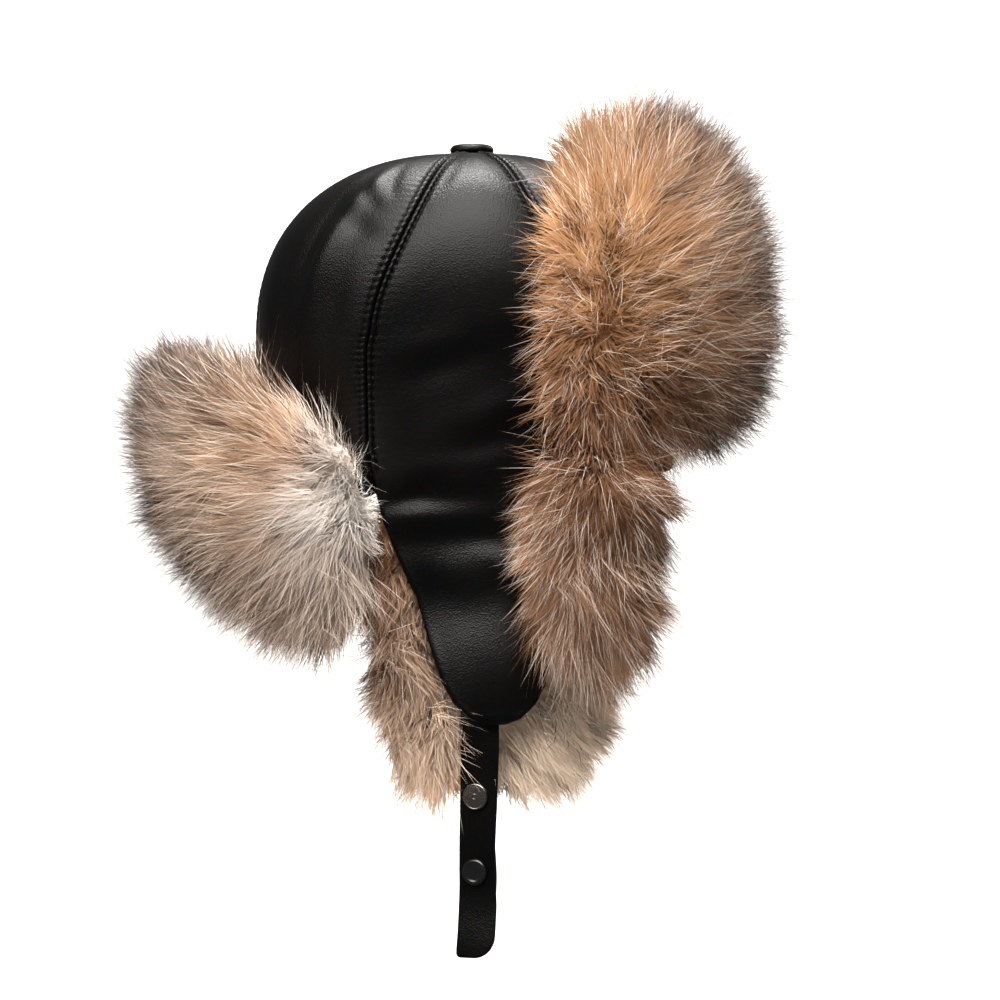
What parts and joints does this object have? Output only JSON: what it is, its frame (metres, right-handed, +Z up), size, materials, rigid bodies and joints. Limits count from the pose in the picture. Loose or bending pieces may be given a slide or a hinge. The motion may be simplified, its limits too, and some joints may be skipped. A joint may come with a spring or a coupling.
{
  "type": "aviator hat",
  "caption": "Black leather aviator hat with turned-up fox fur front and neck flaps, fur-lined ear flaps and snap chin straps, as worn on a head.",
  "frame": {"origin": "inside of the crown's top, where the hat rests on the head", "axes": "+X towards the wearer's front, +Y towards the wearer's left, +Z up"},
  "size_m": [0.3581, 0.2542, 0.4431],
  "materials": {
    "crown_leather": "satin",
    "flap_leather": "matte",
    "fox_fur": "matte",
    "pale_fur": "matte",
    "snap_nickel": "polished",
    "snap_black": "gloss"
  },
  "bodies": {
    "root": {"top_button": "crown_leather", "front_flap": "flap_leather", "neck_flap": "flap_leather", "front_flap_fur": "fox_fur", "neck_flap_fur": "fox_fur", "gore_front_left": "crown_leather", "gore_back_left": "crown_leather", "ear_panel_left": "crown_leather", "ear_lining_left": "pale_fur", "cheek_strip_left": "fox_fur", "strap_left": "flap_leather", "snap_upper_left": "snap_nickel", "snap_lower_left": "snap_black", "gore_front_right": "crown_leather", "gore_back_right": "crown_leather", "ear_panel_right": "crown_leather", "ear_lining_right": "pale_fur", "cheek_strip_right": "fox_fur", "strap_right": "flap_leather", "snap_upper_right": "snap_nickel", "snap_lower_right": "snap_black"}
  },
  "joints": []
}
